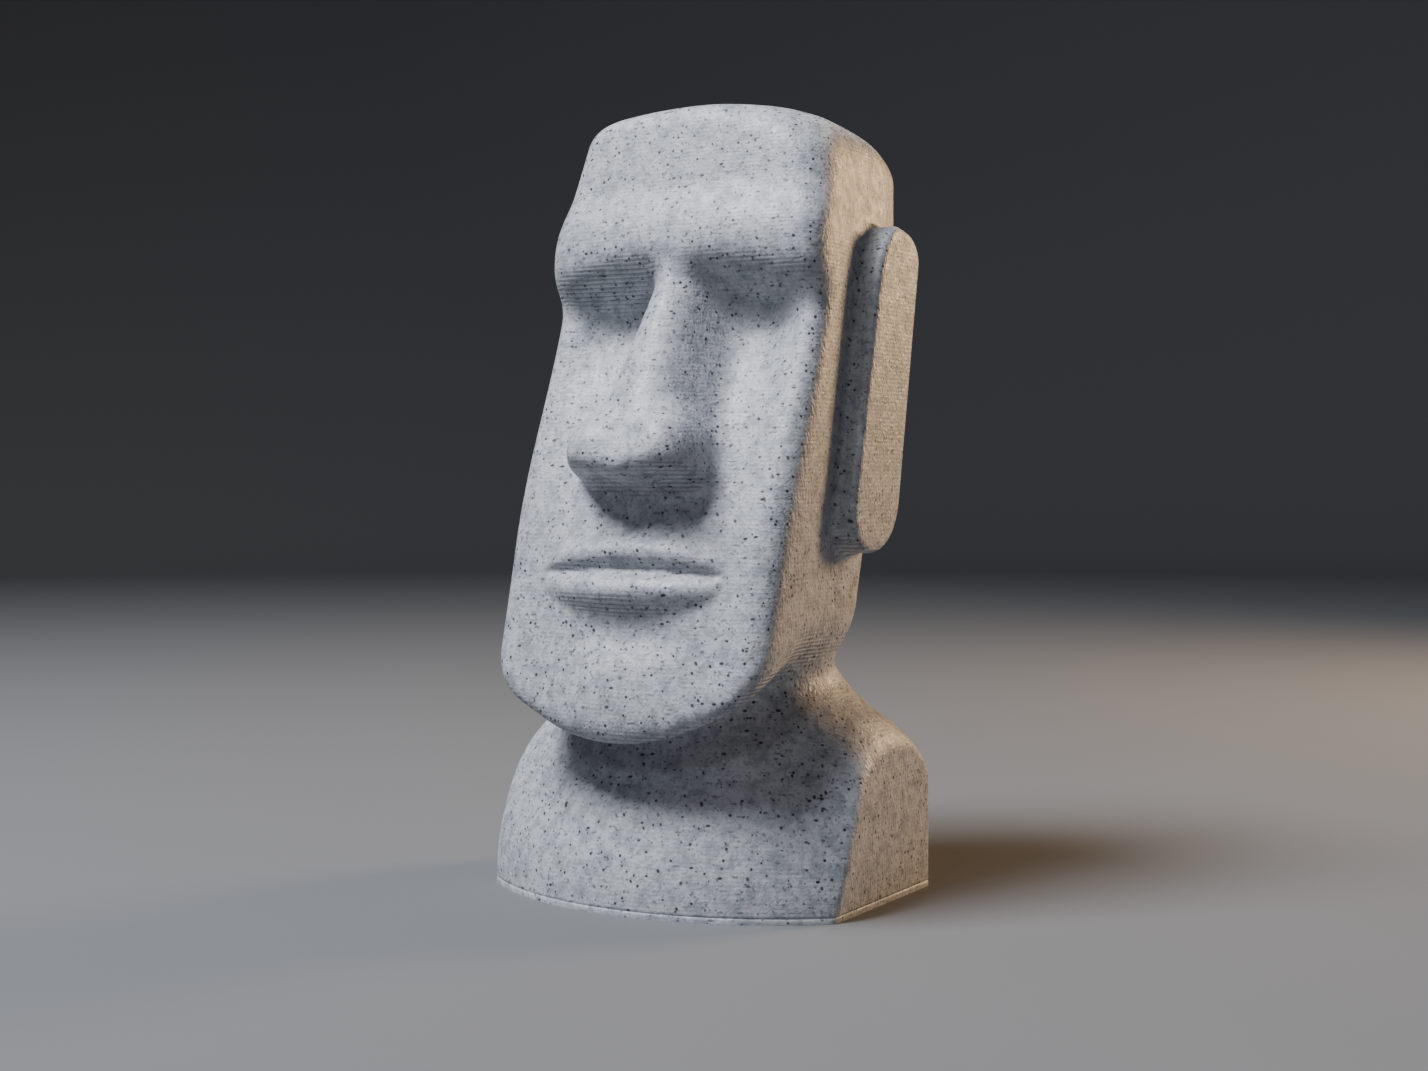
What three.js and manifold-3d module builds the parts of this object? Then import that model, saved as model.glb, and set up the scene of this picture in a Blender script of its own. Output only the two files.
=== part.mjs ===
// A small moai figurine: a long stone-look head that leans back on a low plinth, printed in one piece.
// Millimetres, +Z up, the face looks along -Y, and the figure stands on its underside.
import * as THREE from 'three';
import { mergeVertices } from 'three/addons/utils/BufferGeometryUtils.js';
import Module from 'manifold-3d';

// The whole figure
const HEIGHT = 60;
const LEAN = THREE.MathUtils.degToRad(10.7);

// Plinth
const PLINTH_WIDTH = 29.7;
const PLINTH_BACK = 8.2;
const PLINTH_CORNER = -7.7;
const CHEST_BULGE = 5.65;
const CHEST_SLOPE = 0.02;
const CHEST_CURVE = 0.0365;
const SIDE_BULGE = 0.62;
const BULGE_TOP = 12.6;
const SHOULDER_HEIGHT = 13;
const SHOULDER_RISE = 0.55;
const SHOULDER_CREST = 1;
const SHOULDER_ROUND = 1;
const BACK_WALL_HEIGHT = 7.6;
const PLINTH_ROUND = 2.5;

// Neck
const NECK_HALF_WIDTH = 8.6;
const NECK_HALF_DEPTH = 6.2;
const NECK_CENTRE = -0.5;
const NECK_FOOT = 6.15;
const NECK_TOP = 26;
const NECK_SQUARENESS = 2.6;
const NECK_END_ROUND = 1;
const NECK_BLEND = 4.5;
const JAW_BLEND = 2.6;

// Head block: depths run forward from the axis of the lean, levels run up along it
const HEAD_BASE = 12.3;
const CHIN_LEVEL = -2.2;
const BLOCK_HALF_WIDTH = 11.4;
const CROWN_NARROWING = 0.9;
const CROWN_NARROWING_PAST = 1;
const JAW_NARROWING = 0.3;
const JAW_NARROWING_SPAN = [20, 4];
const BROW_WIDENING = 0.7;
const BROW_WIDENING_SPAN = [3, 10];
const BROW_WIDENING_RISE = 2;
const FRONT_DEPTH = 14.75;
const FRONT_TAPER = 0.075;
const FRONT_CROWNING = 0.005;
const BACK_DEPTH = 4.6;
const NAPE_HOLLOW = 2.3;
const NAPE_SPAN = [36, 6];
const CROWN_MIDDLE = 3.5;
const CROWN_EDGE = 7.53;
const CROWN_DOME = 0.009;
const CROWN_TILT = 0.012;
const CROWN_ROUND = 2;
const CROWN_WEAR = 2;
const JAW_DEPTH = 12.5;
const JAW_SLOPE = 0.68;
const JAW_LIFT = 0.03;
const JAW_LIFT_SPAN = [-2, 8];
const JAW_ROUND = 2.4;
const FACE_CORNER = 2.6;
const CORNER_WEAR = 1.6;
const WEAR_SPAN = [0, 9];
const BACK_CORNER = 3.8;
const WALL_BLEND = 0.3;

// Face, laid out on a canon of eighths of the head's length
const crownLevel = (HEIGHT - HEAD_BASE - CROWN_EDGE * Math.sin(LEAN)) / Math.cos(LEAN);
const EIGHTH = (crownLevel - CHIN_LEVEL) / 8;
const CANON = { mouth: 2, nose: 2.95, cheek: 4.1, brow: 5.87 };
const MOUTH_LEVEL = CHIN_LEVEL + CANON.mouth * EIGHTH;
const NOSE_LEVEL = CHIN_LEVEL + CANON.nose * EIGHTH;
const CHEEK_LEVEL = CHIN_LEVEL + CANON.cheek * EIGHTH;
const BROW_LEVEL = CHIN_LEVEL + CANON.brow * EIGHTH;
const EYE_HOLLOW = 3.7;
const EYE_HOLLOW_FOOT = 2;
const EYE_HOLLOW_HEAD = -2.3;
const MASK_INSET = 0.7;
const MASK_SIDE_FADE = 0.55;
const MASK_SIDE_SPAN = [6.5, 11.5];
const CHEEK = { height: 0.55, side: 6.8, sideReach: 4.2, level: CHEEK_LEVEL, levelReach: 7.5 };
const MUZZLE = { height: 0.75, side: 0, sideReach: 9.5, level: MOUTH_LEVEL, levelReach: 8 };
const CHIN = { height: 0.7, side: 0, sideReach: 7.5, level: CHIN_LEVEL + 3.8, levelReach: 4.6 };
const BELOW_LIP = { height: -0.4, side: 0, sideReach: 7, level: MOUTH_LEVEL - 4.7, levelReach: 2.4 };
const ABOVE_LIP = { height: -0.4, side: 0, sideReach: 1.2, level: MOUTH_LEVEL + 3.7, levelReach: 2 };
const LIP_HALF_WIDTH = 7.6;
const LIP_FULLNESS = 0.6;
const LIP_CORNER_HEIGHT = 0.4;
const LIP_CURVE = 0.004;
const UPPER_LIP = { height: 0.85, above: 1.4, reach: 1.75 };
const LOWER_LIP = { height: 1.05, above: -1.55, reach: 2 };
const LIP_PARTING = { height: 0.32, above: 0, reach: 0.8 };
const LIP_PARTING_SPAN = [8.4, 6.2];
const FOREHEAD_INSET = 0.35;
const BROW_SWELL = { height: 0.7, above: 2, reach: 4.2 };
const BROW_DROOP = 0.012;
const BROW_MIDDLE_DROP = 0.35;
const BROW_MIDDLE_REACH = 3;
const BROW_UNDERCUT = [0.6, 0.8];
const BROW_ROUND = 1.1;
const BROW_BLEND = 1.3;
const NOSE_TOP_DEPTH = 11.9;
const NOSE_RISE = 0.33;
const BRIDGE_HALF_WIDTH = 1.1;
const NOSE_FLARE = 1.3;
const NOSE_FLANK = 0.45;
const NOSE_FLANK_FLARE = 0.17;
const NOSE_FLARE_RISE = 1;
const NOSE_RIDGE_ROUND = 1.8;
const NOSE_BASE_DEPTH = 13.5;
const NOSE_BASE_SLOPES = [0.2, 0.1];
const NOSE_BASE_ROUND = 1.2;
const NOSE_ROOT_RISE = 2.2;
const NOSE_ROOT_ROUND = 2.5;
const NOSE_BLEND = 1.2;
const WING_PLACE = 3.1;
const WING_DEPTH = 14.3;
const WING_RISE = 2.5;
const WING_SIZE = [2.1, 2.8, 2.7];
const WING_BLEND = 2.2;
const NOSTRIL_PLACE = 2.25;
const NOSTRIL_DEPTH = 15.1;
const NOSTRIL_DROP = 0.5;
const NOSTRIL_SIZE = [0.95, 1.45, 1.3];

// Ears: edges by their depth, and each corner's reach along the depth and the level
const EAR_OUTER = 13.3;
const EAR_ROOT = 8;
const EAR_BACK = -2.85;
const EAR_FRONT = 3.95;
const EAR_FOOT_FRONT = 4.65;
const EAR_BOTTOM = 13.6;
const EAR_TOP = 38.8;
const EAR_FRONT_TOP = [2.9, 6.7];
const EAR_BACK_TOP = [2.6, 2.2];
const EAR_FRONT_FOOT = [2.2, 3];
const EAR_BACK_FOOT = [4.4, 4.6];
const EAR_BEVEL = 0.4;

// The spine that the surface is pushed out from: it stands up from the plinth, then leans with the head
const SPINE_SET_BACK = 0.5;
const SPINE_STRAIGHT = 6;

// Facets: rows run from the underside to the crown, columns round the figure and closer on the face
const COLUMNS = 72;
const ROWS = 64;
const FACE_FOCUS = 0.46;
const PAST_EDGE = 4;
const BELOW_FLOOR = 2;
const SIDE_ROWS = 7;
const SIDE_COLUMNS = 4;
const PAST_BACK = 1;
const EAR_CORNER_FACETS = 6;
const EAR_BEVEL_FACETS = 2;
const NOSTRIL_FACETS = [12, 8];
const MARCH = 0.35;
const HALVINGS = 14;
const NET_WELD = 1e-5;
const SOLID_WELD = 1e-4;
const TINY = 1e-9;

const SIN = Math.sin(LEAN);
const COS = Math.cos(LEAN);

/** Larger of two fields, with the crease between them rounded over a width. */
function smoothMax(a, b, width) {
  const overlap = Math.max(width - Math.abs(a - b), 0) / width;
  return Math.max(a, b) + overlap * overlap * width / 4;
}

/** Smaller of two fields, with the crease between them filled over a width. */
function smoothMin(a, b, width) {
  return -smoothMax(-a, -b, width);
}

/** A swelling of one at the middle that dies away smoothly at one and beyond. */
function swell(t) {
  const s = Math.min(Math.abs(t), 1);
  return (1 - s * s) ** 2;
}

/** An eased step from nought at the first place to one at the second. */
function ease(from, to, t) {
  const s = THREE.MathUtils.clamp((t - from) / (to - from), 0, 1);
  return s * s * (3 - 2 * s);
}

/** Field of an egg shape with the given half sizes. */
function egg(x, depth, level, size) {
  const q = [x / size[0], depth / size[1], level / size[2]];
  const near = Math.hypot(...q);
  const slope = Math.hypot(q[0] / size[0], q[1] / size[1], q[2] / size[2]) + TINY;
  return near * (near - 1) / slope;
}

/** How far the plinth's flat sides swell out, most at their fronts and half way up. */
function sideBulge(y, z) {
  const forward = THREE.MathUtils.clamp((PLINTH_BACK - y) / (PLINTH_BACK - PLINTH_CORNER), 0, 1);
  return SIDE_BULGE * forward * Math.max(4 * z / BULGE_TOP * (1 - z / BULGE_TOP), 0);
}

/** The plinth, wider than its flat sides: a bowed chest, sloping shoulders and a back rounded over. */
function plinth(x, y, z) {
  const half = PLINTH_WIDTH / 2;
  const bow = (half * half + CHEST_BULGE * CHEST_BULGE) / (2 * CHEST_BULGE);
  const side = Math.min(Math.abs(x), half + PAST_EDGE);
  const up = Math.max(z, 0);
  const arc = bow - Math.sqrt(bow * bow - side * side);
  const front = PLINTH_CORNER - CHEST_BULGE + arc + CHEST_SLOPE * up + CHEST_CURVE * up * up;
  const chest = (front - y) / Math.hypot(1, CHEST_SLOPE + 2 * CHEST_CURVE * up, side / bow);
  const shoulder = SHOULDER_HEIGHT + SHOULDER_RISE * (half - side);
  const top = (z - shoulder) / Math.hypot(1, SHOULDER_RISE);
  const across = PLINTH_BACK - SHOULDER_CREST;
  const rise = shoulder - BACK_WALL_HEIGHT;
  const behind = Math.max(y - SHOULDER_CREST, 0) / across;
  const above = Math.max(z - BACK_WALL_HEIGHT, 0) / rise;
  const back = (Math.hypot(behind, above) - 1) * Math.min(across, rise);
  const body = smoothMax(chest, smoothMax(top, back, SHOULDER_ROUND), PLINTH_ROUND);
  return Math.max(body, Math.abs(x) - half - PAST_EDGE, -z - BELOW_FLOOR);
}

/** The neck, a squarish column that the plinth and the jaw blend into. */
function neck(x, y, z) {
  const across = Math.abs(x) / NECK_HALF_WIDTH;
  const along = Math.abs(y - NECK_CENTRE) / NECK_HALF_DEPTH;
  const ring = (across ** NECK_SQUARENESS + along ** NECK_SQUARENESS) ** (1 / NECK_SQUARENESS);
  const wall = (ring - 1) * NECK_HALF_DEPTH;
  return smoothMax(wall, Math.max(z - NECK_TOP, NECK_FOOT - z), NECK_END_ROUND);
}

/** A soft mound or hollow at a place on the mask. */
function mound(spot, side, level) {
  const across = swell((side - spot.side) / spot.sideReach);
  return spot.height * across * swell((level - spot.level) / spot.levelReach);
}

/** A soft ridge or groove that runs across. */
function ridge(band, above) {
  return band.height * swell((above - band.above) / band.reach);
}

/** Depth of the front of the plain block. */
function blockFront(side, level) {
  return FRONT_DEPTH - FRONT_TAPER * level - FRONT_CROWNING * side * side;
}

/** How far the lips stand out of the mask. */
function lips(side, level) {
  const taper = Math.max(1 - (side / LIP_HALF_WIDTH) ** 2, 0) ** LIP_FULLNESS;
  const height = LIP_CORNER_HEIGHT + (1 - LIP_CORNER_HEIGHT) * taper;
  const above = (level - MOUTH_LEVEL + LIP_CURVE * side * side) / height;
  const parting = ridge(LIP_PARTING, above) * ease(...LIP_PARTING_SPAN, side);
  return taper * (ridge(UPPER_LIP, above) + ridge(LOWER_LIP, above)) - parting;
}

/** Depth of the face below the brow: hollow eye places, cheeks, muzzle, lips and chin. */
function mask(side, level) {
  const inner = 1 - MASK_SIDE_FADE * ease(...MASK_SIDE_SPAN, side);
  const hollow = EYE_HOLLOW * ease(MOUTH_LEVEL + EYE_HOLLOW_FOOT, BROW_LEVEL + EYE_HOLLOW_HEAD, level);
  let depth = blockFront(side, level) - (MASK_INSET + hollow) * inner + lips(side, level);
  for (const spot of [CHEEK, MUZZLE, CHIN, BELOW_LIP, ABOVE_LIP]) {
    depth += mound(spot, side, level);
  }
  return depth;
}

/** Forehead and brow ledge, level across and cut back below. */
function brow(side, depth, level) {
  const above = level - BROW_LEVEL;
  const ahead = depth - blockFront(side, level) + FOREHEAD_INSET - ridge(BROW_SWELL, above);
  const over = above + BROW_DROOP * side * side + BROW_MIDDLE_DROP * swell(side / BROW_MIDDLE_REACH);
  return smoothMax(ahead, BROW_UNDERCUT[0] * ahead - BROW_UNDERCUT[1] * over, BROW_ROUND);
}

/** Nose: a straight ridge between sloping flanks, rounded wings and a flat base. */
function nose(side, depth, level) {
  const grown = ease(BROW_LEVEL + NOSE_FLARE_RISE, NOSE_LEVEL + NOSE_FLARE_RISE, level);
  const top = NOSE_TOP_DEPTH + NOSE_RISE * (BROW_LEVEL - level);
  const slope = NOSE_FLANK + NOSE_FLANK_FLARE * grown;
  const half = BRIDGE_HALF_WIDTH + NOSE_FLARE * grown;
  const flank = (side - half - (top - depth) * slope) / Math.hypot(1, slope);
  const wedge = smoothMax((depth - top) / Math.hypot(1, NOSE_RISE), flank, NOSE_RIDGE_ROUND);
  const above = level - NOSE_LEVEL;
  const wing = egg(side - WING_PLACE, depth - WING_DEPTH, above - WING_RISE, WING_SIZE);
  const base = NOSE_BASE_SLOPES[0] * (depth - NOSE_BASE_DEPTH) + NOSE_BASE_SLOPES[1] * side - above;
  const cut = smoothMax(smoothMin(wedge, wing, WING_BLEND), base, NOSE_BASE_ROUND);
  return smoothMax(cut, level - BROW_LEVEL - NOSE_ROOT_RISE, NOSE_ROOT_ROUND);
}

/** The head: its face set between the block's sides, back, crown and jaw. */
function head(face, x, depth, level) {
  const side = Math.abs(x);
  const high = ease(BROW_LEVEL, crownLevel + CROWN_NARROWING_PAST, level);
  const lowered = ease(crownLevel, BROW_LEVEL + BROW_WIDENING_RISE, level);
  const widened = ease(...BROW_WIDENING_SPAN, depth) * lowered;
  const narrowed = CROWN_NARROWING * high + JAW_NARROWING * ease(...JAW_NARROWING_SPAN, level);
  const wall = side - BLOCK_HALF_WIDTH + narrowed - BROW_WIDENING * widened;
  const back = -BACK_DEPTH + NAPE_HOLLOW * ease(...NAPE_SPAN, level) - depth;
  const dome = CROWN_DOME * (side * side + (depth - CROWN_MIDDLE) ** 2);
  const crown = level - crownLevel + dome + CROWN_TILT * x;
  const lift = JAW_LIFT * side * side * ease(...JAW_LIFT_SPAN, depth);
  const jaw = (CHIN_LEVEL + JAW_SLOPE * (JAW_DEPTH - depth) + lift - level) / Math.hypot(1, JAW_SLOPE);
  const wear = ease(...WEAR_SPAN, x) * ease(...WEAR_SPAN, depth);
  const front = smoothMax(face, wall, FACE_CORNER + CORNER_WEAR * wear * high);
  const sides = smoothMax(front, smoothMax(wall, back, BACK_CORNER), WALL_BLEND);
  const topped = smoothMax(sides, crown, CROWN_ROUND + CROWN_WEAR * wear);
  return smoothMax(topped, jaw, JAW_ROUND);
}

/** Field of the whole figure without its ears and nostrils: negative inside. */
function figure(x, y, z) {
  const side = Math.abs(x);
  const level = y * SIN + (z - HEAD_BASE) * COS;
  const depth = -y * COS + (z - HEAD_BASE) * SIN;
  const front = smoothMin(depth - mask(side, level), brow(side, depth, level), BROW_BLEND);
  const face = smoothMin(front, nose(side, depth, level), NOSE_BLEND);
  const body = smoothMin(plinth(x, y, z), neck(x, y, z), NECK_BLEND);
  return smoothMin(head(face, x, depth, level), body, JAW_BLEND);
}

/** Stretches of rows: how high their rays start, as a share of the height, their pitch, and their nod in front. */
const STRETCHES = [
  { rows: 2, height: 0.05, pitch: -90, nod: 0 },
  { rows: 2, height: 0.05, pitch: -27, nod: 0 },
  { rows: 6, height: 0.083333, pitch: -17, nod: 0 },
  { rows: 4, height: 0.183333, pitch: -6, nod: -5 },
  { rows: 4, height: 0.3, pitch: -18, nod: -18 },
  { rows: 6, height: 0.4, pitch: -24, nod: -18 },
  { rows: 8, height: 0.408333, pitch: -12, nod: -7 },
  { rows: 3, height: 0.466667, pitch: -3, nod: -1 },
  { rows: 6, height: 0.558333, pitch: -11, nod: -6 },
  { rows: 6, height: 0.583333, pitch: -4, nod: 0 },
  { rows: 5, height: 0.725, pitch: 0, nod: 4 },
  { rows: 3, height: 0.8, pitch: 4, nod: 4 },
  { rows: 7, height: 0.825, pitch: 27, nod: 0 },
  { rows: 2, height: 0.833333, pitch: 63, nod: 0 },
  { rows: 0, height: 0.833333, pitch: 90, nod: 0 },
];

/** The ray's start and pitch for a row, between the two stretches that hold it. */
function rayOfRow(row) {
  let index = 0;
  let first = 0;
  while (index < STRETCHES.length - 2 && row > first + STRETCHES[index].rows) {
    first += STRETCHES[index].rows;
    index += 1;
  }
  const [here, next] = [STRETCHES[index], STRETCHES[index + 1]];
  const share = Math.min((row - first) / here.rows, 1);
  return {
    height: HEIGHT * THREE.MathUtils.lerp(here.height, next.height, share),
    pitch: THREE.MathUtils.lerp(here.pitch, next.pitch, share),
    nod: THREE.MathUtils.lerp(here.nod, next.nod, share),
  };
}

/** Distance along a ray to the surface, by marching out and then halving. */
function shoot(start, way) {
  let out = MARCH;
  const at = new THREE.Vector3();
  const inside = (reach) => {
    at.copy(way).multiplyScalar(reach).add(start);
    return figure(at.x, at.y, at.z) < 0;
  };
  while (out < HEIGHT && inside(out)) {
    out += MARCH;
  }
  let [near, far] = [out - MARCH, out];
  for (let i = 0; i < HALVINGS; i += 1) {
    const middle = (near + far) / 2;
    [near, far] = inside(middle) ? [middle, far] : [near, middle];
  }
  return (near + far) / 2;
}

/** The figure as a net of rows and columns pushed out from a leaning spine to the carved surface. */
function carvedGeometry() {
  const sphere = new THREE.SphereGeometry(1, COLUMNS, ROWS);
  sphere.deleteAttribute('normal');
  sphere.deleteAttribute('uv');
  const net = mergeVertices(sphere, NET_WELD);
  net.rotateX(Math.PI / 2);
  const place = net.getAttribute('position');
  const point = new THREE.Vector3();
  for (let i = 0; i < place.count; i += 1) {
    point.fromBufferAttribute(place, i).normalize();
    const row = Math.acos(THREE.MathUtils.clamp(-point.z, -1, 1)) / Math.PI * ROWS;
    const round = Math.atan2(point.x, -point.y);
    const turn = round - FACE_FOCUS * Math.sin(round);
    const ray = rayOfRow(row);
    const facing = Math.max(Math.cos(turn), 0) ** 2;
    const pitch = THREE.MathUtils.degToRad(ray.pitch + ray.nod * facing);
    const start = new THREE.Vector3(0, spineDepth(ray.height), ray.height);
    const level = Math.cos(pitch);
    const way = new THREE.Vector3(level * Math.sin(turn), -level * Math.cos(turn), Math.sin(pitch));
    point.copy(way).multiplyScalar(shoot(start, way)).add(start);
    place.setXYZ(i, point.x, point.y, point.z);
  }
  return net;
}

/** How far back the spine stands at a height: upright in the plinth, leaning in the head. */
function spineDepth(height) {
  return NECK_CENTRE - SPINE_SET_BACK + Math.max(height - HEAD_BASE - SPINE_STRAIGHT, 0) * Math.tan(LEAN);
}

/** Turns a shape laid out across, backward and up into the leaning frame of the head. */
function leanWithHead(geometry) {
  return geometry.rotateX(-LEAN).translate(0, 0, HEAD_BASE);
}

/** An ear: a long slab with swept corners and bevelled rims, set along the side of the head. */
function earGeometry(inner) {
  const [low, high] = [EAR_BOTTOM + EAR_BEVEL, EAR_TOP - EAR_BEVEL];
  const corners = [
    { edge: -EAR_BACK - EAR_BEVEL, outward: 1, level: low, upward: -1, reach: EAR_BACK_FOOT },
    { edge: -EAR_BACK - EAR_BEVEL, outward: 1, level: high, upward: 1, reach: EAR_BACK_TOP },
    { edge: EAR_BEVEL - EAR_FRONT, outward: -1, level: high, upward: 1, reach: EAR_FRONT_TOP },
    { edge: EAR_BEVEL - EAR_FOOT_FRONT, outward: -1, level: low, upward: -1, reach: EAR_FRONT_FOOT },
  ];
  const outline = new THREE.Shape();
  corners.forEach((corner, quarter) => {
    const [across, along] = corner.reach.map((reach) => reach - EAR_BEVEL);
    const middle = [corner.edge - corner.outward * across, corner.level - corner.upward * along];
    const start = (quarter - 1) * Math.PI / 2;
    outline.absellipse(...middle, across, along, start, start + Math.PI / 2, false, 0);
  });
  const slab = new THREE.ExtrudeGeometry(outline, {
    depth: EAR_OUTER - EAR_ROOT - 2 * EAR_BEVEL,
    curveSegments: EAR_CORNER_FACETS,
    bevelSegments: EAR_BEVEL_FACETS,
    bevelSize: EAR_BEVEL,
    bevelThickness: EAR_BEVEL,
  });
  slab.rotateX(Math.PI / 2).rotateZ(Math.PI / 2);
  slab.translate(inner + EAR_BEVEL, 0, 0);
  return leanWithHead(slab);
}

/** The hollow of a nostril, in the base of the nose. */
function nostrilGeometry(across) {
  const hollow = new THREE.SphereGeometry(1, ...NOSTRIL_FACETS).scale(...NOSTRIL_SIZE);
  hollow.translate(across, -NOSTRIL_DEPTH, NOSE_LEVEL - NOSTRIL_DROP);
  return leanWithHead(hollow);
}

/** The figure's limits: the plinth's flat, slightly swelling sides and its flat underside. */
function limitsGeometry() {
  const reach = 2 * HEIGHT;
  const box = new THREE.BoxGeometry(PLINTH_WIDTH, reach, 1, 1, SIDE_COLUMNS + 2, SIDE_ROWS + 1);
  const place = box.getAttribute('position');
  const backmost = PLINTH_BACK + PAST_BACK;
  const length = backmost - PLINTH_CORNER;
  for (let i = 0; i < place.count; i += 1) {
    const row = Math.round((place.getZ(i) + 0.5) * (SIDE_ROWS + 1));
    const column = Math.round((0.5 - place.getY(i) / reach) * (SIDE_COLUMNS + 2)) - 1;
    const z = row > SIDE_ROWS ? HEIGHT + BELOW_FLOOR : row / SIDE_ROWS * BULGE_TOP;
    let y = backmost - column / SIDE_COLUMNS * length;
    if (column < 0 || column > SIDE_COLUMNS) {
      y = place.getY(i);
    }
    place.setXYZ(i, place.getX(i) + Math.sign(place.getX(i)) * sideBulge(y, z), y, z);
  }
  return box;
}

const wasm = await Module();
wasm.setup();

/** A closed geometry as a solid that can be joined and cut. */
function solidOf(geometry) {
  geometry.deleteAttribute('normal');
  geometry.deleteAttribute('uv');
  const closed = mergeVertices(geometry, SOLID_WELD);
  return new wasm.Manifold(new wasm.Mesh({
    numProp: 3,
    vertProperties: new Float32Array(closed.getAttribute('position').array),
    triVerts: new Uint32Array(closed.index.array),
  }));
}

/** A joined and cut solid as a geometry with normals. */
function geometryOf(solid) {
  const mesh = solid.getMesh();
  const geometry = new THREE.BufferGeometry();
  geometry.setAttribute('position', new THREE.BufferAttribute(new Float32Array(mesh.vertProperties), 3));
  geometry.setIndex(new THREE.BufferAttribute(new Uint32Array(mesh.triVerts), 1));
  geometry.computeVertexNormals();
  return geometry;
}

/** The finished bust, stood with its origin under the middle of its box. */
function bustGeometry() {
  let bust = solidOf(carvedGeometry()).intersect(solidOf(limitsGeometry()));
  for (const inner of [EAR_ROOT, -EAR_OUTER]) {
    bust = bust.add(solidOf(earGeometry(inner)));
  }
  for (const across of [NOSTRIL_PLACE, -NOSTRIL_PLACE]) {
    bust = bust.subtract(solidOf(nostrilGeometry(across)));
  }
  const geometry = geometryOf(bust);
  geometry.computeBoundingBox();
  const middle = geometry.boundingBox.getCenter(new THREE.Vector3());
  return geometry.translate(0, -middle.y, 0);
}

const marblePrint = new THREE.MeshStandardMaterial({ color: 0xc9cdd3, roughness: 0.6, metalness: 0 });
const bust = new THREE.Mesh(bustGeometry(), marblePrint);
bust.name = 'moai_bust';

const figurine = new THREE.Group();
figurine.add(bust);

export default figurine;
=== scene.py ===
"""A small moai figurine, printed in one piece in marble-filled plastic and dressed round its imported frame.

The carving is a signed field, negative inside, put together from the figure's own parts: plinth, neck,
head, face and ears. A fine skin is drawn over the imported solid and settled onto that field. Sizes are
named in millimetres; meshes, lights and the camera are in metres.
"""

import logging
import math
from dataclasses import dataclass, field
from enum import Enum
from typing import Callable

import bmesh
import bpy
import numpy as np
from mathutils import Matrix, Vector


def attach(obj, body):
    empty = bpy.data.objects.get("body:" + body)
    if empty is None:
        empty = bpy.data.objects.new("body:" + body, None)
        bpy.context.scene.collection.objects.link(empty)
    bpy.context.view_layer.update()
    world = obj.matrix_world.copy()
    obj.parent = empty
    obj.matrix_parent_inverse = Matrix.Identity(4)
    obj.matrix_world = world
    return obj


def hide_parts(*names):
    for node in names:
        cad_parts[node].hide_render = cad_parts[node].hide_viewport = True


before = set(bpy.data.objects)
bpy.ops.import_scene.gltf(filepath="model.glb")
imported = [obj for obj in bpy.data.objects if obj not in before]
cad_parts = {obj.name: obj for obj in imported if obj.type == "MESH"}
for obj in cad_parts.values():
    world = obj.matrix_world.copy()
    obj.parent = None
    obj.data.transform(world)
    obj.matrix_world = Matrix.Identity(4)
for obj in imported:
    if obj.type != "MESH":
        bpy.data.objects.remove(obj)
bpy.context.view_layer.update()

MM = 0.001
NODE = "moai_bust"
LOG = logging.getLogger("moai")

# In millimetres: points closer than this are one, and points lower than this are on the floor.
WELD = 0.001
ON_FLOOR = 0.01
# A reach so long that a mound hardly fades that way.
ENDLESS = 99.0
TINY = 1e-9

Array = np.ndarray
Colour = tuple[float, float, float, float]
Socket = bpy.types.NodeSocket


def smooth_max(a: Array, b: Array, width: float | Array) -> Array:
    """Round over the crease where two fields cut each other.

    Args:
        a: First field.
        b: Second field.
        width: How far on each side of the crease the rounding reaches.

    Returns:
        The larger of the two, rounded where they meet.
    """
    overlap = np.maximum(width - np.abs(a - b), 0.0) / width
    return np.maximum(a, b) + overlap * overlap * width / 4.0


def smooth_min(a: Array, b: Array, width: float) -> Array:
    """Fill the crease where two fields join.

    Args:
        a: First field.
        b: Second field.
        width: How far on each side of the crease the fillet reaches.

    Returns:
        The smaller of the two, filled where they meet.
    """
    return -smooth_max(-a, -b, width)


def swell(t: Array) -> Array:
    """Give one at nought, dying away smoothly to nought at one and beyond."""
    s = np.minimum(np.abs(t), 1.0)
    return (1.0 - s * s) ** 2


def ease(start: float, end: float, t: Array) -> Array:
    """Step smoothly from nought at start to one at end."""
    s = np.clip((t - start) / (end - start), 0.0, 1.0)
    return s * s * (3.0 - 2.0 * s)


def egg(across: Array, depth: Array, level: Array, size: tuple[float, float, float]) -> Array:
    """Give the field of an egg shape.

    Args:
        across: Distance from its middle, sideways.
        depth: Distance from its middle, forward.
        level: Distance from its middle, upward.
        size: Its half sizes in the same order.

    Returns:
        The field, negative inside.
    """
    q = np.stack([across / size[0], depth / size[1], level / size[2]])
    near = np.sqrt((q * q).sum(0))
    steep = np.sqrt(((q / np.array(size)[:, None]) ** 2).sum(0)) + TINY
    return near * (near - 1.0) / steep


@dataclass(frozen=True)
class Lean:
    """The frame of the head, which leans back over the plinth."""

    angle: float = math.radians(10.7)
    base: float = 12.3

    def side_depth_level(self, points: Array) -> tuple[Array, Array, Array]:
        """Turn upright points into the leaning frame, both sides folded into one.

        Args:
            points: Rows of x, y and z.

        Returns:
            Distance to the side of the middle plane, depth forward, and level up along the lean.
        """
        sin, cos = math.sin(self.angle), math.cos(self.angle)
        y, z = points[:, 1], points[:, 2] - self.base
        return np.abs(points[:, 0]), z * sin - y * cos, y * sin + z * cos


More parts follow.
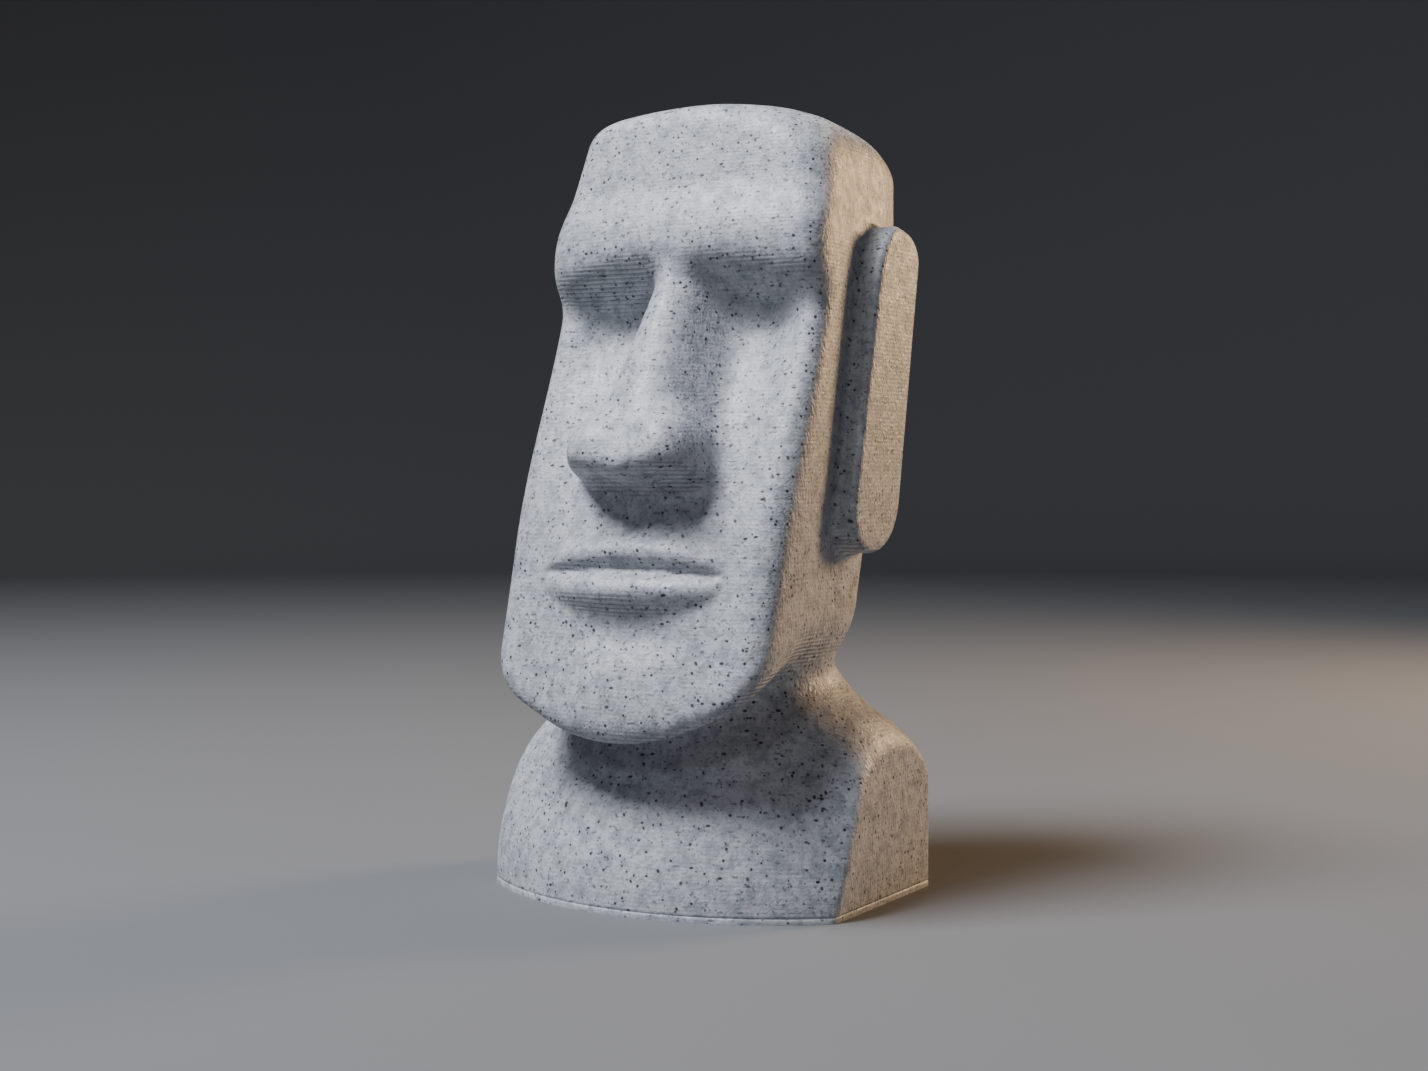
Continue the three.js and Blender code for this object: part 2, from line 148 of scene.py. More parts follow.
@dataclass(frozen=True)
class Plinth:
    """The low stand: a bowed chest, an upright back rounded over, flat sides and sloping shoulders."""

    width: float = 29.7
    back: float = 8.2
    corner: float = -7.7
    chest_bulge: float = 5.65
    chest_slope: float = 0.02
    chest_curve: float = 0.0365
    side_bulge: float = 0.62
    bulge_top: float = 12.6
    shoulder_height: float = 13.0
    shoulder_rise: float = 0.55
    shoulder_crest: float = 1.0
    shoulder_round: float = 1.0
    back_wall: float = 7.6
    rounding: float = 2.5
    edge: float = 0.3
    top_edge: float = 2.2
    edge_span: tuple[float, float] = (8.5, 13.5)
    past_edge: float = 2.0
    below: float = 2.0

    def distance(self, points: Array) -> Array:
        """Give the field of the stand, carried on below the floor so that it can be cut off flat.

        Args:
            points: Rows of x, y and z.

        Returns:
            The field, negative inside.
        """
        x, y, z = points.T
        half = self.width / 2.0
        bow = (half**2 + self.chest_bulge**2) / (2.0 * self.chest_bulge)
        side = np.minimum(np.abs(x), half + self.past_edge)
        up = np.maximum(z, 0.0)
        arc = bow - np.sqrt(bow**2 - side**2)
        front = self.corner - self.chest_bulge + arc + self.chest_slope * up + self.chest_curve * up**2
        slope = self.chest_slope + 2.0 * self.chest_curve * up
        chest = (front - y) / np.sqrt(1.0 + slope**2 + (side / bow) ** 2)
        shoulder = self.shoulder_height + self.shoulder_rise * (half - side)
        top = (z - shoulder) / math.hypot(1.0, self.shoulder_rise)
        across = self.back - self.shoulder_crest
        rise = shoulder - self.back_wall
        behind = np.maximum(y - self.shoulder_crest, 0.0) / across
        above = np.maximum(z - self.back_wall, 0.0) / rise
        back = (np.hypot(behind, above) - 1.0) * np.minimum(across, rise)
        body = smooth_max(chest, smooth_max(top, back, self.shoulder_round), self.rounding)
        edge = self.edge + (self.top_edge - self.edge) * ease(*self.edge_span, z)
        return np.maximum(smooth_max(body, np.abs(x) - half - self.bulge(y, up), edge), -z - self.below)

    def bulge(self, y: Array, z: Array) -> Array:
        """Give how far the flat sides swell out, most at their fronts and half way up.

        Args:
            y: Place from front to back.
            z: Height above the floor.

        Returns:
            The swelling, nought at the back and above its top.
        """
        forward = np.clip((self.back - y) / (self.back - self.corner), 0.0, 1.0)
        rise = z / self.bulge_top
        return self.side_bulge * forward * np.maximum(4.0 * rise * (1.0 - rise), 0.0)


@dataclass(frozen=True)
class Neck:
    """The squarish column between the stand and the jaw."""

    half_width: float = 8.6
    half_depth: float = 6.2
    centre: float = -0.5
    foot: float = 6.15
    top: float = 26.0
    squareness: float = 2.6
    end_round: float = 1.0

    def distance(self, points: Array) -> Array:
        """Give the field of the neck.

        Args:
            points: Rows of x, y and z.

        Returns:
            The field, negative inside.
        """
        x, y, z = points.T
        across = np.abs(x) / self.half_width
        along = np.abs(y - self.centre) / self.half_depth
        ring = (across**self.squareness + along**self.squareness) ** (1.0 / self.squareness)
        wall = (ring - 1.0) * self.half_depth
        return smooth_max(wall, np.maximum(z - self.top, self.foot - z), self.end_round)


@dataclass(frozen=True)
class Canon:
    """Levels of the face, on a canon of eighths of the head's length from chin to crown."""

    chin: float
    crown: float
    mouth_eighths: float = 2.0
    nose_eighths: float = 2.95
    cheek_eighths: float = 4.1
    brow_eighths: float = 5.87

    def at(self, eighths: float) -> float:
        """Give the level that stands so many eighths above the chin."""
        return self.chin + eighths * (self.crown - self.chin) / 8.0

    @property
    def mouth(self) -> float:
        """Level of the parting of the lips."""
        return self.at(self.mouth_eighths)

    @property
    def nose(self) -> float:
        """Level of the base of the nose."""
        return self.at(self.nose_eighths)

    @property
    def cheek(self) -> float:
        """Level of the cheek bones."""
        return self.at(self.cheek_eighths)

    @property
    def brow(self) -> float:
        """Level of the lower edge of the brow."""
        return self.at(self.brow_eighths)


@dataclass(frozen=True)
class Mound:
    """A soft mound, or a hollow where its height is negative, with its middle and its reach."""

    height: float
    side: float
    side_reach: float
    above: float
    above_reach: float

    def relief(self, side: Array, above: Array) -> Array:
        """Give its height at a place beside the middle plane and above its landmark."""
        across = swell((side - self.side) / self.side_reach)
        return self.height * across * swell((above - self.above) / self.above_reach)


@dataclass(frozen=True)
class Lips:
    """Closed, level lips."""

    half_width: float = 7.6
    fullness: float = 0.6
    corner_height: float = 0.4
    curve: float = 0.004
    upper: Mound = Mound(0.85, 0.0, ENDLESS, 1.4, 1.75)
    lower: Mound = Mound(1.05, 0.0, ENDLESS, -1.55, 2.0)
    parting: float = 0.32
    parting_reach: float = 0.8
    parting_fade: tuple[float, float] = (8.4, 6.2)

    def relief(self, side: Array, above: Array) -> Array:
        """Give how far the lips stand out of the mask.

        Args:
            side: Distance from the middle plane.
            above: Level above the mouth line.

        Returns:
            The relief, with the parting between the lips cut in.
        """
        taper = np.maximum(1.0 - (side / self.half_width) ** 2, 0.0) ** self.fullness
        place = (above + self.curve * side**2) / (self.corner_height + (1.0 - self.corner_height) * taper)
        swelling = taper * (self.upper.relief(0.0, place) + self.lower.relief(0.0, place))
        return swelling - self.parting * swell(place / self.parting_reach) * ease(*self.parting_fade, side)


@dataclass(frozen=True)
class Mask:
    """The face below the brow: hollow eye places, cheeks, muzzle and chin."""

    inset: float = 0.7
    sockets: float = 3.7
    socket_foot: float = 2.0
    socket_head: float = -2.3
    side_fade: float = 0.55
    side_fade_span: tuple[float, float] = (6.5, 11.5)
    cheek: Mound = Mound(0.55, 6.8, 4.2, 0.0, 7.5)
    muzzle: Mound = Mound(0.75, 0.0, 9.5, 0.0, 8.0)
    chin: Mound = Mound(0.7, 0.0, 7.5, 3.8, 4.6)
    below_lip: Mound = Mound(-0.4, 0.0, 7.0, -4.7, 2.4)
    above_lip: Mound = Mound(-0.4, 0.0, 1.2, 3.7, 2.0)
    lips: Lips = Lips()

    def relief(self, side: Array, level: Array, canon: Canon) -> Array:
        """Give how far the mask stands in front of the plain block.

        Args:
            side: Distance from the middle plane.
            level: Level up along the lean.
            canon: Levels of the face.

        Returns:
            The relief, mostly negative, because the mask is cut into the block.
        """
        above_mouth = level - canon.mouth
        hollow = self.sockets * ease(canon.mouth + self.socket_foot, canon.brow + self.socket_head, level)
        inner = 1.0 - self.side_fade * ease(*self.side_fade_span, side)
        mounds = sum(m.relief(side, above_mouth) for m in (self.muzzle, self.below_lip, self.above_lip))
        mounds = mounds + self.cheek.relief(side, level - canon.cheek)
        mounds = mounds + self.chin.relief(side, level - canon.chin)
        return mounds + self.lips.relief(side, above_mouth) - (self.inset + hollow) * inner


@dataclass(frozen=True)
class Brow:
    """Forehead and the level brow ledge, cut back below."""

    inset: float = 0.35
    swelling: Mound = Mound(0.7, 0.0, ENDLESS, 2.0, 4.2)
    droop: float = 0.012
    middle_drop: Mound = Mound(0.35, 0.0, 3.0, 0.0, ENDLESS)
    undercut: tuple[float, float] = (0.6, 0.8)
    rounding: float = 1.1

    def distance(self, side: Array, ahead: Array, level: Array, canon: Canon) -> Array:
        """Give the field of the brow.

        Args:
            side: Distance from the middle plane.
            ahead: Depth in front of the plain block.
            level: Level up along the lean.
            canon: Levels of the face.

        Returns:
            The field, negative inside.
        """
        above = level - canon.brow
        front = ahead + self.inset - self.swelling.relief(0.0, above)
        over = above + self.droop * side**2 + self.middle_drop.relief(side, 0.0)
        return smooth_max(front, self.undercut[0] * front - self.undercut[1] * over, self.rounding)


@dataclass(frozen=True)
class Nose:
    """A straight ridge between sloping flanks, with rounded wings and a flat base."""

    top_depth: float = 11.9
    rise: float = 0.33
    bridge: float = 1.1
    flare: float = 1.3
    flank: float = 0.45
    flank_flare: float = 0.17
    flare_start: float = 1.0
    flare_end: float = 1.0
    ridge_round: float = 1.8
    wing_place: float = 3.1
    wing_depth: float = 14.3
    wing_rise: float = 2.5
    wing_size: tuple[float, float, float] = (2.1, 2.8, 2.7)
    wing_blend: float = 2.2
    base_depth: float = 13.5
    base_slopes: tuple[float, float] = (0.2, 0.1)
    base_round: float = 1.2
    root_rise: float = 2.2
    root_round: float = 2.5
    nostril_place: float = 2.25
    nostril_depth: float = 15.1
    nostril_drop: float = 0.5
    nostril_size: tuple[float, float, float] = (0.95, 1.45, 1.3)

    def distance(self, side: Array, depth: Array, level: Array, canon: Canon) -> Array:
        """Give the field of the nose.

        Args:
            side: Distance from the middle plane.
            depth: Depth forward from the axis of the lean.
            level: Level up along the lean.
            canon: Levels of the face.

        Returns:
            The field, negative inside, without the nostrils.
        """
        grown = ease(canon.brow + self.flare_start, canon.nose + self.flare_end, level)
        ridge = self.top_depth + self.rise * (canon.brow - level)
        slope = self.flank + self.flank_flare * grown
        half = self.bridge + self.flare * grown
        flank = (side - half - (ridge - depth) * slope) / np.sqrt(1.0 + slope**2)
        wedge = smooth_max((depth - ridge) / math.hypot(1.0, self.rise), flank, self.ridge_round)
        above = level - canon.nose
        wing = egg(side - self.wing_place, depth - self.wing_depth, above - self.wing_rise, self.wing_size)
        base = self.base_slopes[0] * (depth - self.base_depth) + self.base_slopes[1] * side - above
        cut = smooth_max(smooth_min(wedge, wing, self.wing_blend), base, self.base_round)
        return smooth_max(cut, level - canon.brow - self.root_rise, self.root_round)

    def nostril(self, side: Array, depth: Array, level: Array, canon: Canon) -> Array:
        """Give the field of the nostrils' hollows, negative inside them."""
        above = level - canon.nose + self.nostril_drop
        return egg(side - self.nostril_place, depth - self.nostril_depth, above, self.nostril_size)


@dataclass(frozen=True)
class Head:
    """The long block of the head with its face carved into the front."""

    lean: Lean = Lean()
    height: float = 60.0
    chin: float = -2.2
    half_width: float = 11.4
    crown_narrowing: float = 0.9
    narrowing_past_crown: float = 1.0
    jaw_narrowing: float = 0.3
    jaw_narrowing_span: tuple[float, float] = (20.0, 4.0)
    brow_widening: float = 0.7
    brow_widening_span: tuple[float, float] = (3.0, 10.0)
    brow_widening_rise: float = 2.0
    front: float = 14.75
    front_taper: float = 0.075
    front_crowning: float = 0.005
    back: float = 4.6
    nape_hollow: float = 2.3
    nape_span: tuple[float, float] = (36.0, 6.0)
    crown_middle: float = 3.5
    crown_edge: float = 7.53
    crown_dome: float = 0.009
    crown_tilt: float = 0.012
    crown_round: float = 2.0
    crown_wear: float = 2.0
    jaw_depth: float = 12.5
    jaw_slope: float = 0.68
    jaw_lift: float = 0.03
    jaw_lift_span: tuple[float, float] = (-2.0, 8.0)
    jaw_round: float = 2.4
    face_corner: float = 2.6
    corner_wear: float = 1.6
    wear_span: tuple[float, float] = (0.0, 9.0)
    taper_start: float = -0.2
    taper_angle: float = math.radians(12.0)
    taper_edge: float = 0.4
    back_corner: float = 1.4
    brow_blend: float = 1.3
    nose_blend: float = 1.2
    nostril_rim: float = 0.5
    wall_blend: float = 0.3
    mask: Mask = Mask()
    brow: Brow = Brow()
    nose: Nose = Nose()

    @property
    def canon(self) -> Canon:
        """Levels of the face, worked out from the figure's height."""
        sin, cos = math.sin(self.lean.angle), math.cos(self.lean.angle)
        return Canon(self.chin, (self.height - self.lean.base - self.crown_edge * sin) / cos)

    def face(self, side: Array, depth: Array, level: Array) -> Array:
        """Give the field of the face, forehead to chin.

        Args:
            side: Distance from the middle plane.
            depth: Depth forward from the axis of the lean.
            level: Level up along the lean.

        Returns:
            The field, negative inside.
        """
        canon = self.canon
        ahead = depth - self.front + self.front_taper * level + self.front_crowning * side**2
        mask = ahead - self.mask.relief(side, level, canon)
        front = smooth_min(mask, self.brow.distance(side, ahead, level, canon), self.brow_blend)
        face = smooth_min(front, self.nose.distance(side, depth, level, canon), self.nose_blend)
        return smooth_max(face, -self.nose.nostril(side, depth, level, canon), self.nostril_rim)

    def distance(self, points: Array) -> Array:
        """Give the field of the head without its ears.

        Args:
            points: Rows of x, y and z.

        Returns:
            The field, negative inside.
        """
        side, depth, level = self.lean.side_depth_level(points)
        across = points[:, 0]
        canon = self.canon
        high = ease(canon.brow, canon.crown + self.narrowing_past_crown, level)
        low = ease(canon.crown, canon.brow + self.brow_widening_rise, level)
        widened = ease(*self.brow_widening_span, depth) * low
        narrowed = self.crown_narrowing * high + self.jaw_narrowing * ease(*self.jaw_narrowing_span, level)
        wall = side - self.half_width + narrowed - self.brow_widening * widened
        back = -self.back + self.nape_hollow * ease(*self.nape_span, level) - depth
        dome = self.crown_dome * (side**2 + (depth - self.crown_middle) ** 2)
        crown = level - canon.crown + dome + self.crown_tilt * across
        lift = self.jaw_lift * side**2 * ease(*self.jaw_lift_span, depth)
        under = self.chin + self.jaw_slope * (self.jaw_depth - depth) + lift - level
        jaw = under / math.hypot(1.0, self.jaw_slope)
        wear = ease(*self.wear_span, across) * ease(*self.wear_span, depth)
        corner = self.face_corner + self.corner_wear * wear * high
        front = smooth_max(self.face(side, depth, level), wall, corner)
        taper = wall * math.cos(self.taper_angle) + (self.taper_start - depth) * math.sin(self.taper_angle)
        rear = smooth_max(smooth_max(wall, taper, self.taper_edge), back, self.back_corner)
        sides = smooth_max(front, rear, self.wall_blend)
        topped = smooth_max(sides, crown, self.crown_round + self.crown_wear * wear)
        return smooth_max(topped, jaw, self.jaw_round)


@dataclass(frozen=True)
class Ear:
    """A long slab along each side of the head, its front top corner drawn out and its back foot swept up."""

    lean: Lean = Lean()
    outer: float = 13.3
    root: float = 8.0
    root_round: float = 0.3
    back: float = 2.85
    front: float = 3.95
    foot_front: float = 4.65
    bottom: float = 13.6
    top: float = 38.8
    front_top: tuple[float, float] = (2.9, 6.7)
    back_top: tuple[float, float] = (2.6, 2.2)
    front_foot: tuple[float, float] = (2.2, 3.0)
    back_foot: tuple[float, float] = (4.4, 4.6)
    rim: float = 0.6

    def outline(self, depth: Array, level: Array) -> Array:
        """Give the field of the ear as seen from the side.

        Args:
            depth: Depth forward from the axis of the lean.
            level: Level up along the lean.

        Returns:
            The field, negative inside the outline.
        """
        low, high = self.bottom + self.front_foot[1], self.top - self.front_top[1]
        spread = (self.foot_front - self.front) * np.clip((high - level) / (high - low), 0.0, 1.0)
        ahead = depth - self.front - spread
        behind = -self.back - depth
        forward = ahead > behind
        upper = level > (self.bottom + self.top) / 2.0
        across = np.where(forward, ahead, behind)
        along = np.where(upper, level - self.top, self.bottom - level)
        corners = zip(self.front_top, self.back_top, self.front_foot, self.back_foot)
        wide, tall = (
            np.where(upper, np.where(forward, front_top, back_top), np.where(forward, front_foot, back_foot))
            for front_top, back_top, front_foot, back_foot in corners
        )
        p, q = across / wide + 1.0, along / tall + 1.0
        near = np.hypot(p, q)
        steep = np.hypot(p / wide, q / tall) + TINY
        return np.where((p > 0.0) & (q > 0.0), near * (near - 1.0) / steep, np.maximum(across, along))

    def distance(self, points: Array) -> Array:
        """Give the field of both ears.

        Args:
            points: Rows of x, y and z.

        Returns:
            The field, negative inside.
        """
        side, depth, level = self.lean.side_depth_level(points)
        slab = smooth_max(self.outline(depth, level), side - self.outer, self.rim)
        return smooth_max(slab, self.root - side, self.root_round)


@dataclass(frozen=True)
class FirstLayer:
    """The first printed layer, squashed out a little under a fine groove.

    Faces below cut_below are cut round at its levels. Faces whose normals rise by less than wall_limit are
    walls, and they are pushed out or in.
    """

    height: float = 0.34
    reach: float = 0.02
    groove_middle: float = 0.44
    groove_top: float = 0.54
    groove_depth: float = 0.045
    cut_below: float = 1.08
    wall_limit: float = 0.9

    def steps(self) -> tuple[tuple[float, float], ...]:
        """List the levels at which the foot's wall is cut round.

        Returns:
            Each level with how far the wall is then pushed out there.
        """
        return (
            (0.0, self.reach),
            (self.height, self.reach),
            (self.groove_middle, -self.groove_depth),
            (self.groove_top, 0.0),
        )


@dataclass
class Skin:
    """How finely the surface is meshed and how it is settled onto the carving."""

    cell: float = 0.27
    rounds: int = 3
    probe: float = 0.02
    longest_step: float = 0.5
    least_slope: float = 0.05
    evening: float = 0.5
    evening_rounds: int = 2
    crease: float = math.radians(50.0)

    def settle(self, points: Array, distance: Callable[[Array], Array]) -> Array:
        """Move points along the field's slope until they lie on its surface.

        Args:
            points: Rows of x, y and z, near the surface.
            distance: The field.

        Returns:
            The moved points.
        """
        for _ in range(self.rounds):
            here = distance(points)
            slope = np.empty_like(points)
            for axis in range(3):
                nudge = np.zeros(3)
                nudge[axis] = self.probe
                slope[:, axis] = (distance(points + nudge) - distance(points - nudge)) / (2.0 * self.probe)
            steep = np.maximum((slope * slope).sum(1), self.least_slope)
            step = np.clip(here / steep, -self.longest_step, self.longest_step)
            points = points - slope * step[:, None]
        return points


@dataclass
class Bust:
    """The whole figure: plinth, neck, head and ears as the one piece that they are printed as."""

    plinth: Plinth = Plinth()
    first_layer: FirstLayer = FirstLayer()
    neck: Neck = Neck()
    head: Head = Head()
    ear: Ear = Ear()
    skin: Skin = field(default_factory=Skin)
    neck_blend: float = 4.5
    jaw_blend: float = 2.6
    ear_blend: float = 0.6

    def stand_back(self, node: bpy.types.Object) -> float:
        """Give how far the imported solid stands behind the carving's own axis, from the foot of its chest."""
        foot = [v.co.y for v in node.data.vertices if v.co.z < ON_FLOOR * MM]
        return min(foot) / MM - self.plinth.corner + self.plinth.chest_bulge

    def distance(self, points: Array) -> Array:
        """Give the field of the whole figure.

        Args:
            points: Rows of x, y and z.

        Returns:
            The field, negative inside.
        """
        body = smooth_min(self.plinth.distance(points), self.neck.distance(points), self.neck_blend)
        figure = smooth_min(self.head.distance(points), body, self.jaw_blend)
        return smooth_min(figure, self.ear.distance(points), self.ear_blend)

    def rough_skin(self, node: bpy.types.Object) -> bpy.types.Mesh:
        """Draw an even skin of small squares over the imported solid.

        Args:
            node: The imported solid.

        Returns:
            The skin, with the stand carried on below the floor.
        """
        work = bmesh.new()
        work.from_mesh(node.data)
        bmesh.ops.remove_doubles(work, verts=work.verts, dist=WELD * MM)
        underside = [v for v in work.verts if v.co.z < ON_FLOOR * MM]
        bmesh.ops.translate(work, verts=underside, vec=(0.0, 0.0, -self.plinth.below * MM))
        rough = bpy.data.meshes.new("rough")
        work.to_mesh(rough)
        work.free()
        holder = bpy.data.objects.new("rough", rough)
        bpy.context.scene.collection.objects.link(holder)
        remesh = holder.modifiers.new("skin", "REMESH")
        remesh.mode = "VOXEL"
        remesh.voxel_size = self.skin.cell * MM
        depsgraph = bpy.context.evaluated_depsgraph_get()
        skin = bpy.data.meshes.new_from_object(holder.evaluated_get(depsgraph))
        bpy.data.objects.remove(holder)
        bpy.data.meshes.remove(rough)
        return skin

    def settle(self, work: bmesh.types.BMesh, offset: Array) -> None:
        """Settle a mesh onto the carving.

        Args:
            work: The mesh, in metres.
            offset: Where the carving's own origin stands, in millimetres.
        """
        points = np.array([v.co for v in work.verts]) / MM - offset
        points = (self.skin.settle(points, self.distance) + offset) * MM
        for vertex, point in zip(work.verts, points):
            vertex.co = point

    def cut_foot(self, work: bmesh.types.BMesh) -> None:
        """Cut the stand off flat at the floor and press its first layer out.

        Args:
            work: The mesh, in metres.
        """
        everything = [*work.verts, *work.edges, *work.faces]
        floor = {"plane_co": (0, 0, 0), "plane_no": (0, 0, -1)}
        bmesh.ops.bisect_plane(work, geom=everything, clear_outer=True, **floor)
        bmesh.ops.holes_fill(work, edges=[e for e in work.edges if e.is_boundary], sides=0)
        steps = self.first_layer.steps()
        for level, _ in steps[1:]:
            low = [f for f in work.faces if f.calc_center_median().z < self.first_layer.cut_below * MM]
            geom = [*{v for f in low for v in f.verts}, *{e for f in low for e in f.edges}, *low]
            bmesh.ops.bisect_plane(work, geom=geom, plane_co=(0, 0, level * MM), plane_no=(0, 0, 1))
        work.normal_update()
        for vertex in [v for v in work.verts if v.co.z < self.first_layer.groove_top * MM]:
            walls = [f.normal.xy for f in vertex.link_faces if abs(f.normal.z) < self.first_layer.wall_limit]
            if walls:
                away = sum(walls, Vector((0.0, 0.0))).normalized()
                levels, pushes = zip(*steps)
                vertex.co.xy += away * float(np.interp(vertex.co.z / MM, levels, pushes)) * MM

    def build(self, node: bpy.types.Object) -> bpy.types.Object:
        """Make the figure's fine mesh.

        Args:
            node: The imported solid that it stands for.

        Returns:
            The new piece.
        """
        offset = np.array([0.0, self.stand_back(node), 0.0])
        skin = self.rough_skin(node)
        work = bmesh.new()
        work.from_mesh(skin)
        self.settle(work, offset)
        for _ in range(self.skin.evening_rounds):
            bmesh.ops.smooth_vert(
                work,
                verts=work.verts[:],
                factor=self.skin.evening,
                use_axis_x=True,
                use_axis_y=True,
                use_axis_z=True,
            )
            self.settle(work, offset)
        self.cut_foot(work)
        bmesh.ops.recalc_face_normals(work, faces=work.faces[:])
        skin.clear_geometry()
        work.to_mesh(skin)
        work.free()
        skin.name = "moai_figure"
        skin.shade_smooth()
        skin.set_sharp_from_angle(angle=self.skin.crease)
        piece = bpy.data.objects.new("moai_figure", skin)
        bpy.context.scene.collection.objects.link(piece)
        return piece

    def dress(self, piece: bpy.types.Object, finish: "MarblePrint") -> None:
        """Give the piece its finish, hide the imported solid that it stands for, and hang it on the root.

        Args:
            piece: The figure's fine mesh.
            finish: The plastic that it is printed in.
        """
        piece.data.materials.clear()
        piece.data.materials.append(finish.material())
        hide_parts(NODE)
        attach(piece, "root")


class Sheet:
    """A material's node sheet, with short ways to lay out and join its nodes."""

    def __init__(self, name: str) -> None:
        """Start an empty sheet with a surface shader on it.

        Args:
            name: The material's name.
        """
        self.material = bpy.data.materials.new(name)
        self.material.use_nodes = True
        self.tree = self.material.node_tree
        self.tree.nodes.clear()
        self.shader = self.tree.nodes.new("ShaderNodeBsdfPrincipled")
        output = self.tree.nodes.new("ShaderNodeOutputMaterial")
        self.tree.links.new(self.shader.outputs["BSDF"], output.inputs["Surface"])

    def add(
        self, kind: str, inputs: dict[str | int, object] | None = None, **settings: object
    ) -> bpy.types.Node:
        """Lay a node on the sheet.

        Args:
            kind: The node's type, without its common prefix.
            inputs: Its inputs by name or place, each a plain value or another node's output.
            **settings: The node's own settings.

        Returns:
            The node.
        """
        node = self.tree.nodes.new("ShaderNode" + kind)
        for name, value in settings.items():
            setattr(node, name, value)
        for name, value in (inputs or {}).items():
            self.feed(node.inputs[name], value)
        return node

    def feed(self, socket: Socket, value: object) -> None:
        """Join an output to a socket, or set the socket's plain value.

        Args:
            socket: The input to feed.
            value: Another node's output, or a plain value.
        """
        if isinstance(value, Socket):
            self.tree.links.new(value, socket)
        else:
            socket.default_value = value

    def sum(self, operation: str, *terms: object) -> Socket:
        """Work out one step of arithmetic."""
        return self.add("Math", dict(enumerate(terms)), operation=operation).outputs[0]

    def ramp(self, value: object, low: float, high: float, start: float = 0.0, end: float = 1.0) -> Socket:
        """Map a value smoothly from low..high onto start..end, holding it at both ends."""
        places = {"Value": value, "From Min": low, "From Max": high, "To Min": start, "To Max": end}
        return self.add("MapRange", places, interpolation_type="SMOOTHSTEP").outputs["Result"]

    def blend(self, share: object, first: object, second: object) -> Socket:
        """Mix two colours.

        Args:
            share: How much of the second there is, from nought to one.
            first: The first colour.
            second: The second colour.

        Returns:
            The mixed colour.
        """
        # A mix of colours has its share at place 0, its colours at places 6 and 7, and its result at 2.
        return self.add("Mix", {0: share, 6: first, 7: second}, data_type="RGBA").outputs[2]

    def clouds(
        self, place: object, size: float, detail: float, roughness: float = 0.5, distortion: float = 0.0
    ) -> Socket:
        """Lay out soft noise.

        Args:
            place: Place on the piece.
            size: Size of its features, in millimetres.
            detail: How many finer octaves it has.
            roughness: How strong those octaves are.
            distortion: How far it is swirled.

        Returns:
            The noise, from about nought to one.
        """
        inputs = {
            "Vector": place,
            "Scale": 1.0 / (size * MM),
            "Detail": detail,
            "Roughness": roughness,
            "Distortion": distortion,
        }
        return self.add("TexNoise", inputs).outputs["Fac"]


class Lie(Enum):
    """Which way a population of grains lies, as turns about x, y and z."""

    UPRIGHT = (0.3, 0.1, 0.0)
    RISING = (0.4, 0.85, 0.0)
    FALLING = (-0.5, -0.8, 0.0)
    LEVEL = (0.2, 1.5, 0.4)


@dataclass(frozen=True)
class Specks:
    """One population of grains in the plastic, sizes in millimetres."""

    lie: Lie
    length: float
    spacing: float
    radius: float
    darkness: float
    softness: float = 0.03
    size_shares: tuple[float, float] = (0.45, 1.15)
    faintest: float = 0.4
    faint_share: float = 0.7

    def strength(self, sheet: Sheet, place: Socket, shift: float) -> Socket:
        """Scatter the grains.

        Args:
            sheet: The material's sheet.
            place: Place on the piece.
            shift: How far the pattern is moved, so that populations don't repeat each other.

        Returns:
            How strongly each place is darkened.
        """
        inputs = {
            "Vector": place,
            "Location": (shift, shift, shift),
            "Rotation": self.lie.value,
            "Scale": (1.0, 1.0, self.length),
        }
        moved = sheet.add("Mapping", inputs, vector_type="TEXTURE").outputs["Vector"]
        cells = sheet.add("TexVoronoi", {"Vector": moved, "Scale": 1.0 / (self.spacing * MM)})
        chance = sheet.add("SeparateColor", {"Color": cells.outputs["Color"]}).outputs
        reach, edge = self.radius / self.spacing, self.softness / self.spacing
        smallest, largest = (share * reach for share in self.size_shares)
        size = sheet.ramp(chance["Red"], 0.0, 1.0, smallest, largest)
        inside = sheet.sum("SUBTRACT", size, cells.outputs["Distance"])
        faintest = self.faintest * self.darkness
        weight = sheet.ramp(chance["Green"], 0.0, self.faint_share, faintest, self.darkness)
        return sheet.sum("MULTIPLY", sheet.ramp(inside, -edge, edge), weight)


